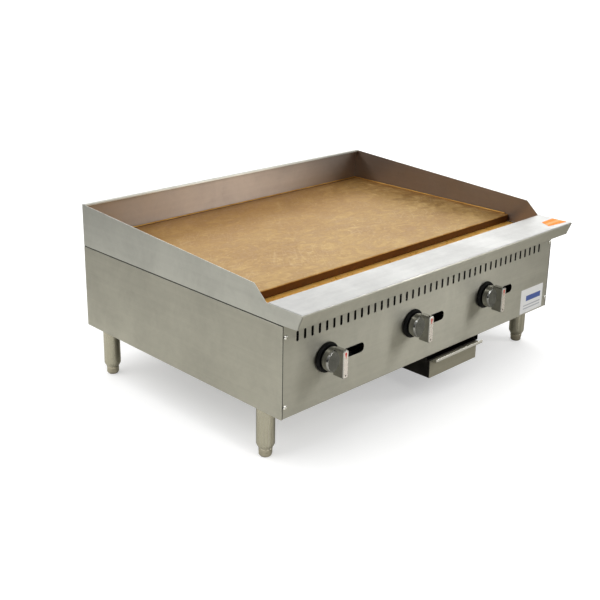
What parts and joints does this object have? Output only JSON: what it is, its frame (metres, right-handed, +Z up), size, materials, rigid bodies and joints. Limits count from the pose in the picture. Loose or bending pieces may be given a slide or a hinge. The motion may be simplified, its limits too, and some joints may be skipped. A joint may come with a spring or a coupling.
{
  "type": "countertop gas griddle",
  "caption": "Countertop gas griddle: thick flat steel plate with splash guards, grease trough, front ledge, vented control panel, pull-out grease drawer and levelling feet.",
  "frame": {"origin": "on the floor, under the middle of the whole body, with the feet wound right in", "axes": "+X to the right seen from the front, +Y from the front towards the back, +Z up"},
  "size_m": [0.9144, 0.7112, 0.399],
  "materials": {
    "stainless_sheet": "brushed stainless sheet, satin",
    "seasoned_plate": "ground steel plate with a tan film of baked oil",
    "dark_steel": "dark sooty steel",
    "burner_steel": "aluminised steel, dull",
    "brass": "machined brass",
    "chrome_plate": "bright chrome plate",
    "black_plastic": "black moulded plastic",
    "pipe_steel": "black iron gas pipe",
    "foot_steel": "turned stainless steel"
  },
  "bodies": {
    "cabinet": {"left_side_panel": "stainless_sheet", "right_side_panel": "stainless_sheet", "back_panel": "stainless_sheet", "bottom_pan": "stainless_sheet", "front_panel": "stainless_sheet", "heat_shield": "dark_steel", "front_burner_rest": "dark_steel", "rear_burner_rest": "dark_steel", "lower_left_panel_screw": "chrome_plate", "upper_left_panel_screw": "chrome_plate", "lower_right_panel_screw": "chrome_plate", "upper_right_panel_screw": "chrome_plate", "left_splash": "stainless_sheet", "right_splash": "stainless_sheet", "back_splash": "stainless_sheet", "griddle_plate": "seasoned_plate", "grease_trough": "seasoned_plate", "front_ledge": "stainless_sheet", "grease_chute": "dark_steel", "left_drawer_rail": "dark_steel", "right_drawer_rail": "dark_steel", "gas_manifold": "pipe_steel", "manifold_cap": "pipe_steel", "supply_elbow": "pipe_steel", "supply_pipe": "pipe_steel", "left_burner": "burner_steel", "left_gas_valve": "brass", "left_pilot_valve": "brass", "left_pilot_tube": "burner_steel", "left_knob_bezel": "black_plastic", "centre_burner": "burner_steel", "centre_gas_valve": "brass", "centre_pilot_valve": "brass", "centre_pilot_tube": "burner_steel", "centre_knob_bezel": "black_plastic", "right_burner": "burner_steel", "right_gas_valve": "brass", "right_pilot_valve": "brass", "right_pilot_tube": "burner_steel", "right_knob_bezel": "black_plastic", "front_left_leg": "stainless_sheet", "front_right_leg": "stainless_sheet", "back_left_leg": "stainless_sheet", "back_right_leg": "stainless_sheet"},
    "left_control": {"left_knob": "chrome_plate", "left_valve_stem": "brass"},
    "left_shutter": {"left_air_shutter": "burner_steel"},
    "centre_control": {"centre_knob": "chrome_plate", "centre_valve_stem": "brass"},
    "centre_shutter": {"centre_air_shutter": "burner_steel"},
    "right_control": {"right_knob": "chrome_plate", "right_valve_stem": "brass"},
    "right_shutter": {"right_air_shutter": "burner_steel"},
    "drawer": {"grease_drawer": "dark_steel", "drawer_front": "stainless_sheet"},
    "front_left_foot_body": {"front_left_foot": "foot_steel"},
    "front_right_foot_body": {"front_right_foot": "foot_steel"},
    "back_left_foot_body": {"back_left_foot": "foot_steel"},
    "back_right_foot_body": {"back_right_foot": "foot_steel"}
  },
  "joints": [
    {"name": "left_knob_turn", "type": "hinge", "parent": "cabinet", "child": "left_control", "pos_m": [-0.336, -0.33, 0.203], "axis": [0, -1, 0], "range_deg": [0, 90]},
    {"name": "centre_knob_turn", "type": "hinge", "parent": "cabinet", "child": "centre_control", "pos_m": [-0.074, -0.33, 0.203], "axis": [0, -1, 0], "range_deg": [0, 90]},
    {"name": "right_knob_turn", "type": "hinge", "parent": "cabinet", "child": "right_control", "pos_m": [0.188, -0.33, 0.203], "axis": [0, -1, 0], "range_deg": [0, 90]},
    {"name": "left_shutter_turn", "type": "hinge", "parent": "cabinet", "child": "left_shutter", "pos_m": [-0.336, -0.226, 0.203], "axis": [0, 1, 0], "range_deg": [0, 60]},
    {"name": "centre_shutter_turn", "type": "hinge", "parent": "cabinet", "child": "centre_shutter", "pos_m": [-0.074, -0.226, 0.203], "axis": [0, 1, 0], "range_deg": [0, 60]},
    {"name": "right_shutter_turn", "type": "hinge", "parent": "cabinet", "child": "right_shutter", "pos_m": [0.188, -0.226, 0.203], "axis": [0, 1, 0], "range_deg": [0, 60]},
    {"name": "drawer_slide", "type": "slide", "parent": "cabinet", "child": "drawer", "axis": [0, -1, 0], "range_m": [0, 0.4]},
    {"name": "front_left_foot_level", "type": "slide", "parent": "cabinet", "child": "front_left_foot_body", "axis": [0, 0, -1], "range_m": [0, 0.025]},
    {"name": "front_right_foot_level", "type": "slide", "parent": "cabinet", "child": "front_right_foot_body", "axis": [0, 0, -1], "range_m": [0, 0.025]},
    {"name": "back_left_foot_level", "type": "slide", "parent": "cabinet", "child": "back_left_foot_body", "axis": [0, 0, -1], "range_m": [0, 0.025]},
    {"name": "back_right_foot_level", "type": "slide", "parent": "cabinet", "child": "back_right_foot_body", "axis": [0, 0, -1], "range_m": [0, 0.025]}
  ]
}
